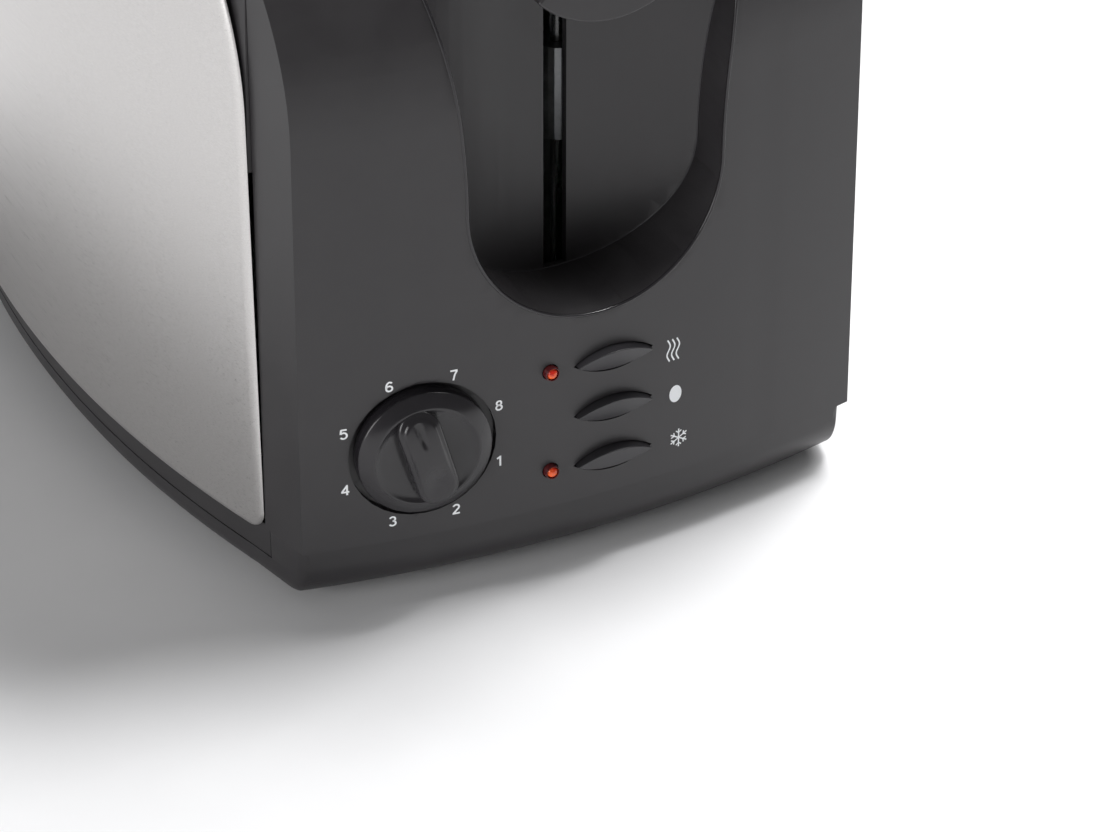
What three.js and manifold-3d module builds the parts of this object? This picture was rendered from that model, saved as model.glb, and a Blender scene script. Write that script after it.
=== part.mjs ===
// A two-slice pop-up toaster: black plastic end caps, brushed steel side panels, a lever in a
// U-shaped recess, a browning dial, three buttons, and the oven, carriage and crumb tray inside.
// Millimetres, +Z up. The control end faces -Y, and +X is to the right seen from that end.
// The origin is on the floor, at the middle of the length and the width.
import * as THREE from "three";
import { mergeVertices } from "three/addons/utils/BufferGeometryUtils.js";
import Module from "manifold-3d";

const wasm = await Module();
wasm.setup();

// ---- Driving dimensions ----
const bodyLength = 285;
const bodyHeight = 190;
const faceHalfWidth = 78; // half the width of the end face along its bottom edge
const faceBowRadius = 351; // the end face is bowed in plan
const faceTaper = 0.01; // the end face narrows by this much per millimetre of height
const faceStraightTop = 134; // above this height the end face leans back
const faceTopRadius = 83;
const crestRadius = 13; // where the leaning face rolls over into the top
const seamHeight = 20; // bottom edge of the end caps, top of the base
const capDepth = 24;
const bandFlare = 0.235; // the cap's side walls spread by this much per millimetre of depth
const shoulderRadius = 12;
const panelHalfWidth = 100.8; // outside of the steel side panels at mid length
const panelBulgeRadius = 400;
const panelSheet = 1;
const wall = 2.5;
const gap = 0.3; // between neighbouring pieces

const baseBottom = 2; // underside of the base at its four corner feet
const baseBulgeDepth = 31.4; // how far from the body's end the base's sides start to bulge
const baseSideInset = 1.5; // the base stands in from the cap's side walls
const baseFrontInset = 2.6;

const recessRadius = 34.7; // the U-shaped recess in the control end
const recessCentreZ = 108.9;
const recessFlareRadius = 230;
const recessDepth = 24.7;
const recessBackRadius = 65.6;
const recessSheet = 2.2; // thickness of the recess's own wall
const leverSlotWidth = 6.3;
const leverSlotBottom = recessCentreZ - recessRadius + 0.6; // just above the recess floor
const leverSlotTop = 181;

const dialX = -47.1;
const dialZ = 46;
const dialRadius = 17.3;
const dialWellRadius = 19.1;
const dialWellDepth = 2.6;
const dialPadRadius = 21.5; // thicker plastic behind the dial
const dialPadBack = 5.2;
const shaftHoleRadius = 3.6;

const buttonX = 4;
const buttonZ = 45.4;
const buttonPitch = 14.7;
const buttonWidth = 21;
const buttonHeight = 6.7;
const buttonClearance = 0.35;

const lampX = -13.5;
const lampHeights = [60.4, 31.3];
const lampRadius = 1.95;

const slotX = 35; // middle of each bread slot
const slotWidth = 36;
const slotEndMargin = 4; // the slots end this far inside the oven
const slotCornerRadius = 7;
const ovenFront = -74;
const ovenRear = 94;
const ovenTop = 172;
const ovenBottom = 30;
const ovenHalfWidth = 70;
const sheet = 1;

const lifterTop = 105; // bread rail with the lever up
const leverTravel = 68; // how far the lever, carriage and bread rails go down
const knobZ = 165.6;
const knobWidth = 39;
const knobHeight = 17;
const knobReach = 5.7; // the lever knob stands this far in front of the end face

const rodX = 14;
const rodY = -92;
const rodRadius = 2;

const trayHalfWidth = 56;
const trayFloor = 10;
const trayTop = 15.5;

const glandX = 50; // cord inlet in the rear cap
const glandZ = 36;
const glandRadius = 5.3;

const clearOfSides = 110; // half width of a cut that passes right through the body

const halfLength = bodyLength / 2;
const frontY = -halfLength;
const seamY = halfLength - capDepth;
const baseBulgeY = halfLength - baseBulgeDepth;
const faceCornerY = halfLength - bow(faceHalfWidth);
const dialYaw = -Math.asin(dialX / -faceBowRadius);

// ---- Colours ----
const blackPlastic = { color: 0x2b2a2c, roughness: 0.45, metalness: 0 };
const glossPlastic = { color: 0x222124, roughness: 0.22, metalness: 0 };
const darkPlastic = { color: 0x1c1c1e, roughness: 0.6, metalness: 0 };
const brushedSteel = { color: 0xbdb8b3, roughness: 0.32, metalness: 1 };
const galvanised = { color: 0xa7aaac, roughness: 0.4, metalness: 1 };
const brightWire = { color: 0xc9ccce, roughness: 0.25, metalness: 1 };
const mica = { color: 0xc9bfa0, roughness: 0.7, metalness: 0 };
const boardGreen = { color: 0x2d5a3a, roughness: 0.6, metalness: 0 };
const copper = { color: 0xb87333, roughness: 0.4, metalness: 1 };
const rubber = { color: 0x1a1a1a, roughness: 0.9, metalness: 0 };
const redLens = { color: 0xb3160f, roughness: 0.2, metalness: 0 };

// ---- Solids ----
function solidOf(geometry) {
  const bare = geometry.clone();
  bare.deleteAttribute("normal");
  bare.deleteAttribute("uv");
  const merged = mergeVertices(bare, 1e-4);
  const triVerts = new Uint32Array(merged.index.array);
  const vertProperties = new Float32Array(merged.attributes.position.array);
  return new wasm.Manifold(new wasm.Mesh({ numProp: 3, vertProperties, triVerts }));
}

function geometryOf(solid) {
  const mesh = solid.getMesh();
  const geometry = new THREE.BufferGeometry();
  geometry.setAttribute("position", new THREE.BufferAttribute(mesh.vertProperties, 3));
  geometry.setIndex(new THREE.BufferAttribute(mesh.triVerts, 1));
  geometry.computeVertexNormals();
  return geometry;
}

function joined(...solids) {
  return solids.reduce((whole, piece) => whole.add(piece));
}

function cutBy(solid, ...cutters) {
  return cutters.reduce((rest, cutter) => rest.subtract(cutter), solid);
}

function block(xRange, yRange, zRange) {
  const [x0, x1] = xRange;
  const [y0, y1] = yRange;
  const [z0, z1] = zRange;
  const geometry = new THREE.BoxGeometry(x1 - x0, y1 - y0, z1 - z0);
  geometry.translate((x0 + x1) / 2, (y0 + y1) / 2, (z0 + z1) / 2);
  return solidOf(geometry);
}

// Unit vectors along the object's axes.
const axes = {
  x: new THREE.Vector3(1, 0, 0),
  y: new THREE.Vector3(0, 1, 0),
  z: new THREE.Vector3(0, 0, 1),
};

// Outline in (x, z), extruded along Y.
function extrudeY(shape, y0, y1, steps = 1, curveSegments = 12) {
  const options = { depth: y1 - y0, bevelEnabled: false, steps, curveSegments };
  const geometry = new THREE.ExtrudeGeometry(shape, options);
  const turned = new THREE.Matrix4().makeBasis(axes.x, axes.z, axes.y.clone().negate());
  geometry.applyMatrix4(turned);
  geometry.translate(0, y1, 0);
  return geometry;
}

// Outline in (y, z), extruded along X.
function extrudeX(shape, x0, x1, steps = 1, curveSegments = 12) {
  const options = { depth: x1 - x0, bevelEnabled: false, steps, curveSegments };
  const geometry = new THREE.ExtrudeGeometry(shape, options);
  geometry.applyMatrix4(new THREE.Matrix4().makeBasis(axes.y, axes.z, axes.x));
  geometry.translate(x0, 0, 0);
  return geometry;
}

// Outline in (x, y), extruded along Z.
function extrudeZ(shape, z0, z1, curveSegments = 12) {
  const options = { depth: z1 - z0, bevelEnabled: false, curveSegments };
  const geometry = new THREE.ExtrudeGeometry(shape, options);
  geometry.translate(0, 0, z0);
  return geometry;
}

function cylinderY(radius, y0, y1, x = 0, z = 0, sides = 16) {
  const geometry = new THREE.CylinderGeometry(radius, radius, y1 - y0, sides);
  geometry.translate(x, (y0 + y1) / 2, z);
  return solidOf(geometry);
}

function cylinderZ(radius, z0, z1, x = 0, y = 0, sides = 24) {
  const geometry = new THREE.CylinderGeometry(radius, radius, z1 - z0, sides);
  geometry.rotateX(Math.PI / 2);
  geometry.translate(x, y, (z0 + z1) / 2);
  return solidOf(geometry);
}

// Profile of [radius, distance] points turned about the Y axis.
function latheY(profile, sides = 32) {
  const points = profile.map(([radius, along]) => new THREE.Vector2(radius, along));
  return new THREE.LatheGeometry(points, sides);
}

function roundedRectangle(x0, x1, y0, y1, radius) {
  const shape = new THREE.Shape();
  shape.moveTo(x0 + radius, y0);
  shape.lineTo(x1 - radius, y0);
  shape.absarc(x1 - radius, y0 + radius, radius, -Math.PI / 2, 0, false);
  shape.lineTo(x1, y1 - radius);
  shape.absarc(x1 - radius, y1 - radius, radius, 0, Math.PI / 2, false);
  shape.lineTo(x0 + radius, y1);
  shape.absarc(x0 + radius, y1 - radius, radius, Math.PI / 2, Math.PI, false);
  shape.lineTo(x0, y0 + radius);
  shape.absarc(x0 + radius, y0 + radius, radius, Math.PI, 1.5 * Math.PI, false);
  return shape;
}

// A pointed oval between two equal arcs, as wide and as high as given.
function lens(centreX, centreY, width, height) {
  const half = width / 2;
  const rise = height / 2;
  const radius = (half * half + rise * rise) / (2 * rise);
  const spread = Math.asin(half / radius);
  const drop = radius - rise;
  const shape = new THREE.Shape();
  const up = Math.PI / 2;
  shape.absarc(centreX, centreY + drop, radius, -up - spread, -up + spread, false);
  shape.absarc(centreX, centreY - drop, radius, up - spread, up + spread, false);
  return shape;
}

// A solid through closed level outlines of equal length, from the lowest to the highest.
function loft(levels) {
  const count = levels[0].length;
  const positions = levels.flat().flatMap((point) => [point.x, point.y, point.z]);
  const index = [];
  for (let level = 0; level < levels.length - 1; level++) {
    for (let i = 0; i < count; i++) {
      const a = level * count + i;
      const b = level * count + ((i + 1) % count);
      index.push(a, b, b + count, a, b + count, a + count);
    }
  }
  const top = (levels.length - 1) * count;
  for (const [a, b, c] of THREE.ShapeUtils.triangulateShape(levels[0], [])) {
    index.push(a, c, b);
    index.push(top + a, top + b, top + c);
  }
  const geometry = new THREE.BufferGeometry();
  geometry.setAttribute("position", new THREE.Float32BufferAttribute(positions, 3));
  geometry.setIndex(index);
  return solidOf(geometry);
}

// ---- Outlines of the body ----
function bow(x) {
  return faceBowRadius - Math.sqrt(faceBowRadius ** 2 - x ** 2);
}

function bulge(y) {
  return panelBulgeRadius - Math.sqrt(panelBulgeRadius ** 2 - y ** 2);
}

function bandHalfWidth(y) {
  return faceHalfWidth + bandFlare * (faceCornerY - Math.abs(y));
}

function panelX(y) {
  return panelHalfWidth - bulge(y);
}

function baseHalfWidth(y) {
  const throughBand = bandHalfWidth(baseBulgeY) - baseSideInset;
  const underPanel = panelX(y) - panelX(baseBulgeY) + throughBand;
  return Math.abs(y) > baseBulgeY ? bandHalfWidth(y) - baseSideInset : underPanel;
}

const acrossSteps = 5; // straight pieces across half an end of the base
const alongSteps = 6; // and along half a side

// Plan outline of the base at one level, moved in by the given amounts at the ends and sides.
function baseOutline(endInset, sideInset, z) {
  let cornerX = faceHalfWidth;
  let cornerY = faceCornerY;
  for (let pass = 0; pass < 6; pass++) {
    cornerY = halfLength - baseFrontInset - endInset - bow(cornerX);
    cornerX = baseHalfWidth(cornerY) - sideInset;
  }
  const quarter = [];
  for (let i = 0; i <= acrossSteps; i++) {
    const x = (cornerX * i) / acrossSteps;
    quarter.push([x, halfLength - baseFrontInset - endInset - bow(x)]);
  }
  for (let i = 0; i < alongSteps; i++) {
    const y = baseBulgeY * (1 - i / alongSteps);
    quarter.push([baseHalfWidth(y) - sideInset, y]);
  }
  const middle = [[baseHalfWidth(0) - sideInset, 0]];
  const back = [...quarter].reverse();
  const outline = [
    ...quarter.map(([x, y]) => [x, -y]),
    ...middle,
    ...back,
    ...quarter.slice(1).map(([x, y]) => [-x, y]),
    ...middle.map(([x, y]) => [-x, y]),
    ...back.slice(0, -1).map(([x, y]) => [-x, -y]),
  ];
  return outline.map(([x, y]) => new THREE.Vector3(x, y, z));
}

// Side profile of a cap's end face and top in (y, z), with the cap's depth behind it.
function capProfile() {
  const faceCentreY = frontY + faceTopRadius;
  const roll = Math.asin(
    (bodyHeight - crestRadius - faceStraightTop) / (faceTopRadius - crestRadius),
  );
  const crestY = faceCentreY - (faceTopRadius - crestRadius) * Math.cos(roll);
  const shape = new THREE.Shape();
  shape.moveTo(frontY, 0);
  shape.lineTo(frontY, faceStraightTop);
  shape.absarc(faceCentreY, faceStraightTop, faceTopRadius, Math.PI, Math.PI - roll, true);
  shape.absarc(crestY, bodyHeight - crestRadius, crestRadius, Math.PI - roll, Math.PI / 2, true);
  shape.lineTo(0, bodyHeight);
  shape.lineTo(0, 0);
  shape.closePath();
  return shape;
}

// Everything behind the bowed, leaning end face and under the top.
function faceEnvelope(inset) {
  const geometry = extrudeX(capProfile(), -clearOfSides, clearOfSides, 12, 5);
  const points = geometry.attributes.position;
  for (let i = 0; i < points.count; i++) {
    points.setY(i, points.getY(i) + bow(points.getX(i)) + inset);
    points.setZ(i, points.getZ(i) - inset);
  }
  return solidOf(geometry);
}

// The cap seen from its end: side walls with a slight taper, and rounded shoulders.
function capOutline(inset, bottom) {
  const half = faceHalfWidth - inset;
  const top = bodyHeight - inset;
  const radius = shoulderRadius - inset;
  const narrow = half - faceTaper * (top - radius - seamHeight);
  const shape = new THREE.Shape();
  shape.moveTo(-half, bottom);
  shape.lineTo(half, bottom);
  shape.lineTo(narrow, top - radius);
  shape.absarc(narrow - radius, top - radius, radius, 0, Math.PI / 2, false);
  shape.lineTo(-narrow + radius, top);
  shape.absarc(-narrow + radius, top - radius, radius, Math.PI / 2, Math.PI, false);
  shape.closePath();
  return shape;
}

function flared(geometry) {
  const points = geometry.attributes.position;
  for (let i = 0; i < points.count; i++) {
    const spread = bandHalfWidth(points.getY(i)) / faceHalfWidth;
    points.setX(i, points.getX(i) * spread);
  }
  return geometry;
}

// ---- End caps ----
function capShell() {
  const ahead = frontY - 5;
  const outline = capOutline(0, seamHeight + gap);
  const outer = solidOf(flared(extrudeY(outline, ahead, -seamY - gap, 1, 4)));
  const hollow = solidOf(flared(extrudeY(capOutline(wall, seamHeight - 5), ahead, 0, 1, 4)));
  const shell = outer.intersect(faceEnvelope(0));
  return shell.subtract(hollow.intersect(faceEnvelope(wall)));
}

// The U seen from the end: a half circle below, walls that spread a little as they rise.
function recessOutline(inset) {
  const radius = recessRadius - inset;
  const flare = recessFlareRadius + inset;
  const rise = Math.asin((bodyHeight + 10 - recessCentreZ) / flare);
  const shape = new THREE.Shape();
  shape.absarc(0, recessCentreZ, radius, Math.PI, 2 * Math.PI, false);
  shape.absarc(radius + flare, recessCentreZ, flare, Math.PI, Math.PI - rise, true);
  shape.absarc(-radius - flare, recessCentreZ, flare, rise, 0, true);
  return shape;
}

// Plan of the recess: its back wall is hollow, deepest in the middle.
function recessPlan(extra) {
  const centreY = frontY + recessDepth - recessBackRadius;
  const radius = recessBackRadius + extra;
  const shape = new THREE.Shape();
  shape.absarc(0, centreY, radius, 0.12 * Math.PI, 0.88 * Math.PI, false);
  shape.lineTo(-60, frontY - 30);
  shape.lineTo(60, frontY - 30);
  shape.closePath();
  return shape;
}

function recessBody(extra) {
  const seenFromEnd = solidOf(extrudeY(recessOutline(-extra), frontY - 20, 0, 1, 8));
  const seenFromTop = solidOf(extrudeZ(recessPlan(extra), 40, bodyHeight + 8, 14));
  return seenFromEnd.intersect(seenFromTop);
}

function placedAtDial(geometry) {
  const place = new THREE.Matrix4().makeRotationZ(dialYaw);
  place.setPosition(dialX, frontY + bow(dialX), dialZ);
  geometry.applyMatrix4(place);
  return solidOf(geometry);
}

function frontCap() {
  const recessWall = recessBody(recessSheet).intersect(faceEnvelope(0));
  const half = leverSlotWidth / 2;
  const leverSlot = block([-half, half], [frontY + 5, -100], [leverSlotBottom, leverSlotTop]);
  const padFront = 0.6;
  const dialPad = placedAtDial(
    latheY([[0, padFront], [dialPadRadius, padFront], [dialPadRadius, dialPadBack], [0, dialPadBack]]),
  );
  const dialWell = placedAtDial(
    latheY([[0, -8], [dialWellRadius, -8], [dialWellRadius, dialWellDepth], [0, dialWellDepth]]),
  );
  const shaftHole = placedAtDial(
    latheY([[0, -8], [shaftHoleRadius, -8], [shaftHoleRadius, 12], [0, 12]], 20),
  );
  const openings = [leverSlot, dialWell, shaftHole];
  for (const step of [-1, 0, 1]) {
    const hole = lens(
      buttonX,
      buttonZ + step * buttonPitch,
      buttonWidth + 4 * buttonClearance,
      buttonHeight + 2 * buttonClearance,
    );
    openings.push(solidOf(extrudeY(hole, frontY - 5, frontY + 8, 1, 7)));
  }
  for (const z of lampHeights) {
    openings.push(cylinderY(lampRadius + gap, frontY - 5, frontY + 8, lampX, z, 16));
  }
  const body = joined(capShell(), recessWall, dialPad.intersect(faceEnvelope(0)));
  return cutBy(body, recessBody(0), ...openings);
}

function rearCap() {
  const ventHalfWidth = 24;
  const ventHeight = 3;
  const ventPitch = 8;
  const lowestVent = 118;
  const inlet = cylinderY(glandRadius + gap, frontY - 5, frontY + 12, -glandX, glandZ, 24);
  const vents = [];
  for (let row = 0; row < 5; row++) {
    const z = lowestVent + row * ventPitch;
    const slit = roundedRectangle(-ventHalfWidth, ventHalfWidth, z, z + ventHeight, 1.4);
    vents.push(solidOf(extrudeY(slit, frontY - 5, frontY + 15, 1, 4)));
  }
  const shaped = cutBy(capShell(), inlet, ...vents);
  const turned = geometryOf(shaped);
  turned.rotateZ(Math.PI);
  return turned;
}

// ---- Top cover ----
function slotOutline(side, grow) {
  const half = slotWidth / 2 + grow;
  const middle = side * slotX;
  const near = ovenFront + slotEndMargin - grow;
  const far = ovenRear - slotEndMargin + grow;
  return roundedRectangle(middle - half, middle + half, near, far, slotCornerRadius + grow);
}

function coverSolid(inset, bottom) {
  const skirtHalf = bandHalfWidth(seamY);
  const geometry = extrudeY(capOutline(inset, bottom), -seamY, seamY, 8, 4);
  const points = geometry.attributes.position;
  for (let i = 0; i < points.count; i++) {
    const half = panelX(points.getY(i)) - panelX(seamY) + skirtHalf;
    points.setX(i, (points.getX(i) * half) / faceHalfWidth);
  }
  return solidOf(geometry);
}

// Everything between the two leaning ends and under the top.
function bodyEnvelope(inset) {
  const farHalf = geometryOf(faceEnvelope(inset));
  farHalf.rotateZ(Math.PI);
  return joined(faceEnvelope(inset), solidOf(farHalf));
}

function topCover() {
  const skirtBottom = 122;
  const outer = coverSolid(0, skirtBottom).intersect(bodyEnvelope(0));
  const hollow = coverSolid(wall, skirtBottom - 5).intersect(bodyEnvelope(wall));
  const shell = cutBy(outer, hollow);
  const collarBottom = 177;
  const collarWall = 1.6;
  const pieces = [shell];
  const throats = [];
  for (const side of [-1, 1]) {
    pieces.push(solidOf(extrudeZ(slotOutline(side, collarWall), collarBottom, bodyHeight - 1, 4)));
    throats.push(solidOf(extrudeZ(slotOutline(side, 0), collarBottom - 5, bodyHeight + 5, 4)));
  }
  const recessNotch = recessBody(recessSheet + gap);
  return cutBy(joined(...pieces), ...throats, recessNotch);
}

// ---- Steel side panels ----
// Seen from the side: large upper corners, small lower ones.
function panelOutline() {
  const end = seamY - 0.4;
  const bottom = seamHeight - 0.7;
  const top = 178.6;
  const upperRadius = 100;
  const blendRadius = 12;
  const lowerRadius = 5.4;
  const upperZ = 136;
  const sweep = Math.asin((top - blendRadius - upperZ) / (upperRadius - blendRadius));
  const upperY = end - upperRadius;
  const blendY = upperY + (upperRadius - blendRadius) * Math.cos(sweep);
  const shape = new THREE.Shape();
  shape.moveTo(-end + lowerRadius, bottom);
  shape.lineTo(end - lowerRadius, bottom);
  shape.absarc(end - lowerRadius, bottom + lowerRadius, lowerRadius, -Math.PI / 2, 0, false);
  shape.absarc(upperY, upperZ, upperRadius, 0, sweep, false);
  shape.absarc(blendY, top - blendRadius, blendRadius, sweep, Math.PI / 2, false);
  shape.absarc(-blendY, top - blendRadius, blendRadius, Math.PI / 2, Math.PI - sweep, false);
  shape.absarc(-upperY, upperZ, upperRadius, Math.PI - sweep, Math.PI, false);
  shape.absarc(-end + lowerRadius, bottom + lowerRadius, lowerRadius, Math.PI, 1.5 * Math.PI, false);
  return shape;
}

function sidePanel(side) {
  const plan = new THREE.Shape();
  const steps = 16;
  const reach = seamY + 2;
  plan.moveTo(side * panelX(-reach), -reach);
  for (let i = 1; i <= steps; i++) {
    const y = -reach + (2 * reach * i) / steps;
    plan.lineTo(side * panelX(y), y);
  }
  for (let i = steps; i >= 0; i--) {
    const y = -reach + (2 * reach * i) / steps;
    plan.lineTo(side * (panelX(y) - panelSheet), y);
  }
  plan.closePath();
  const sheetMetal = solidOf(extrudeZ(plan, 0, bodyHeight));
  const inside = side > 0 ? [50, 120] : [-120, -50];
  return sheetMetal.intersect(solidOf(extrudeX(panelOutline(), ...inside, 1, 5)));
}

// ---- Base ----
const endCurve = 12; // how far the base curves under at its ends
const sideCurve = 6;
const baseFloorTop = 8;
const footX = 62;
const footY = 113;
const footRadius = 7;
const footTop = 5;
const postX = 64; // posts that carry the oven's end plates
const postReach = 6; // from an end plate to its posts
const postRadius = 5;
const postTop = 17.7;
const screwRadius = 1.6;
const screwHeadRadius = 3.5;
const railThickness = 1.5;
const railBottom = 10.5;

const boardFront = -124; // the control board stands on two stubs behind the dial and buttons
const boardThickness = 1.6;
const boardSpan = [-24, 62];
const boardFoot = 12;
const stubRadius = 3;

const postPlaces = [-1, 1].flatMap((side) => [
  [side * postX, ovenFront - postReach],
  [side * postX, ovenRear + postReach],
]);
const footPlaces = [-1, 1].flatMap((side) => [
  [side * footX, -footY],
  [side * footX, footY],
]);

function baseLevels(inset, bottom, top) {
  const levels = [];
  const steps = 4;
  for (let i = 0; i <= steps; i++) {
    const rise = (endCurve * i) / steps;
    const endTurn = Math.asin(1 - rise / endCurve);
    const sideTurn = Math.asin(Math.max(0, 1 - rise / sideCurve));
    const endInset = endCurve * (1 - Math.cos(endTurn)) + inset;
    const sideInset = sideCurve * (1 - Math.cos(sideTurn)) + inset;
    levels.push(baseOutline(endInset, sideInset, bottom + rise));
  }
  levels.push(baseOutline(inset, inset, top));
  return levels;
}

// A shallow arch cut up into the bottom edge, extruded across the wall it is cut through.
function archCut(chord, rise, extrude, from, to) {
  const radius = (chord ** 2 / 4 + rise ** 2) / (2 * rise);
  const half = Math.asin(chord / 2 / radius);
  const up = Math.PI / 2;
  const shape = new THREE.Shape();
  shape.absarc(0, baseBottom + rise - radius, radius, up - half, up + half, false);
  shape.lineTo(-chord / 2, baseBottom - 1);
  shape.lineTo(chord / 2, baseBottom - 1);
  shape.closePath();
  return solidOf(extrude(shape, from, to, 1, 6));
}

// A strip along one side of the base, from a depth inside its surface to a distance outside it.
function railStrip(side, depth, outside, bottom, top) {
  const steps = 2 * alongSteps;
  const outer = [];
  const inner = [];
  for (let i = 0; i <= steps; i++) {
    const y = -seamY + (2 * seamY * i) / steps;
    outer.push(new THREE.Vector2(side * (baseHalfWidth(y) + outside), y));
    inner.push(new THREE.Vector2(side * (baseHalfWidth(y) - depth), y));
  }
  const shape = new THREE.Shape([...outer, ...inner.reverse()]);
  return solidOf(extrudeZ(shape, bottom, top));
}

function base() {
  const shell = cutBy(
    loft(baseLevels(0, baseBottom, seamHeight)),
    loft(baseLevels(wall, baseFloorTop, seamHeight + 2)),
  );
  const rooted = baseFloorTop - 1;
  const posts = postPlaces.map(([x, y]) => cylinderZ(postRadius, rooted, postTop, x, y, 16));
  const stubs = boardSpan.map((x) =>
    cylinderZ(stubRadius, rooted, boardFoot - gap, x, boardFront + 2, 12),
  );
  const cuts = [];
  for (const [x, y] of postPlaces) {
    cuts.push(cylinderZ(screwRadius + gap, 0, 20, x, y, 12));
    cuts.push(cylinderZ(screwHeadRadius + gap, 0, 5.5, x, y, 16));
  }
  for (const [x, y] of footPlaces) {
    cuts.push(cylinderZ(footRadius + gap, 0, footTop + gap, x, y, 20));
  }
  for (let row = -3; row <= 3; row++) {
    const y = 10 + row * 20;
    cuts.push(block([-30, 30], [y - 2, y + 2], [0, baseFloorTop + 1]));
  }
  const endArch = { chord: 76, rise: 2.7 };
  const sideArch = { chord: 196, rise: 4.5 };
  const trayPort = [trayFloor - 0.8, trayTop + 1.5];
  cuts.push(
    archCut(endArch.chord, endArch.rise, extrudeY, -halfLength, -halfLength + 26),
    archCut(endArch.chord, endArch.rise, extrudeY, halfLength - 26, halfLength),
    archCut(sideArch.chord, sideArch.rise, extrudeX, -clearOfSides, -86),
    archCut(sideArch.chord, sideArch.rise, extrudeX, 86, clearOfSides),
    block([-trayHalfWidth - 1, trayHalfWidth + 1], [110, 150], trayPort),
    railStrip(-1, railThickness + gap, 5, railBottom, seamHeight + 1),
    railStrip(1, railThickness + gap, 5, railBottom, seamHeight + 1),
  );
  return cutBy(joined(shell, ...posts, ...stubs), ...cuts);
}

function sideRail(side) {
  const strip = railStrip(side, railThickness, 0, railBottom + gap, seamHeight);
  return strip.intersect(block([-clearOfSides, clearOfSides], [-seamY + gap, seamY - gap], [0, bodyHeight]));
}

function foot() {
  const profile = [[0, 0], [footRadius - 1, 0], [footRadius, 1]];
  profile.push([footRadius, footTop], [0, footTop]);
  const geometry = latheY(profile, 16);
  geometry.rotateX(Math.PI / 2);
  return geometry;
}

function baseScrew() {
  const head = 2.8;
  const neck = 5.2;
  const tip = 20.4;
  const profile = [[0, head], [screwHeadRadius, head], [screwHeadRadius, neck]];
  profile.push([screwRadius, neck], [screwRadius, tip], [0, tip]);
  const geometry = latheY(profile, 12);
  geometry.rotateX(Math.PI / 2);
  return geometry;
}

// ---- Crumb tray ----
function crumbTray() {
  const near = ovenFront + 8;
  const far = 134;
  const x = trayHalfWidth;
  const pan = cutBy(
    block([-x, x], [near, far], [trayFloor, trayTop]),
    block([-x + sheet, x - sheet], [near + sheet, far - sheet], [trayFloor + sheet, trayTop + 1]),
  );
  const gripWidth = 46;
  const gripEnd = halfLength + knobReach;
  const grip = roundedRectangle(-gripWidth / 2, gripWidth / 2, far - 1, gripEnd, 5);
  const frontEnd = halfLength - baseFrontInset - bow(x);
  const front = block([-x, x], [far - 0.5, frontEnd], [trayFloor, trayTop]);
  const tab = solidOf(extrudeZ(grip, trayFloor, trayFloor + 3, 6));
  return joined(pan, front, tab);
}

// ---- Oven ----
const lifterSlotWidth = 8;

// An end plate with flanges for its two posts, cut for whatever passes through it.
function endPlate(y, outward, extras, cuts) {
  const half = ovenHalfWidth;
  const near = Math.min(y, y + outward * sheet);
  const plate = block([-half, half], [near, near + sheet], [postTop + gap, ovenTop]);
  const reach = [y, y + outward * (postReach + postRadius)];
  const flangeDepth = [Math.min(...reach), Math.max(...reach)];
  const flangeHeight = [postTop + gap, postTop + gap + sheet];
  const flanges = [-1, 1].map((side) => {
    const edges = [side * (postX - postRadius), side * (postX + postRadius)];
    return block([Math.min(...edges), Math.max(...edges)], flangeDepth, flangeHeight);
  });
  const holes = [-1, 1].map((side) =>
    cylinderZ(screwRadius + gap, 15, 22, side * postX, y + outward * postReach, 12),
  );
  return cutBy(joined(plate, ...flanges, ...extras), ...holes, ...cuts);
}

function frontPlate() {
  const tab = (x0, x1, y, z) => block([x0, x1], [y, ovenFront - sheet / 2], [z, z + sheet]);
  const tabs = [
    tab(rodX - 6, rodX + 6, rodY - 6, rodTop + gap),
    tab(rodX - 6, rodX + 6, rodY - 6, rodBottom - gap - sheet),
    tab(springX - 6, springX + 6, springY - 6, springTop + gap),
  ];
  const slots = [-1, 1].map((side) => {
    const middle = side * slotX;
    const width = [middle - lifterSlotWidth / 2, middle + lifterSlotWidth / 2];
    return block(width, [ovenFront - 5, ovenFront + 5], [ovenBottom - 6, lifterTop + 5]);
  });
  return endPlate(ovenFront, -1, tabs, slots);
}

function reflector() {
  return block(
    [-sheet / 2, sheet / 2],
    [ovenFront + gap, ovenRear - gap],
    [ovenBottom, ovenTop - 2],
  );
}

// A sheet of mica with notched upper and lower edges that hold the heating ribbon.
function heaterBoard() {
  const near = ovenFront + 2;
  const far = ovenRear - 2;
  const bottom = ovenBottom + 6;
  const top = ovenTop - 6;
  const notches = 8;
  const notchDepth = 2;
  const pitch = (far - near) / notches;
  const shape = new THREE.Shape();
  shape.moveTo(near, bottom);
  for (let i = 0; i < notches; i++) {
    const start = near + pitch * (i + 0.35);
    const end = near + pitch * (i + 0.65);
    shape.lineTo(start, bottom);
    shape.lineTo((start + end) / 2, bottom + notchDepth);
    shape.lineTo(end, bottom);
  }
  shape.lineTo(far, bottom);
  for (let i = notches - 1; i >= 0; i--) {
    const start = near + pitch * (i + 0.65);
    const end = near + pitch * (i + 0.35);
    shape.lineTo(start, top);
    shape.lineTo((start + end) / 2, top - notchDepth);
    shape.lineTo(end, top);
  }
  shape.lineTo(near, top);
  shape.closePath();
  return extrudeX(shape, -0.6, 0.6);
}

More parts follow.
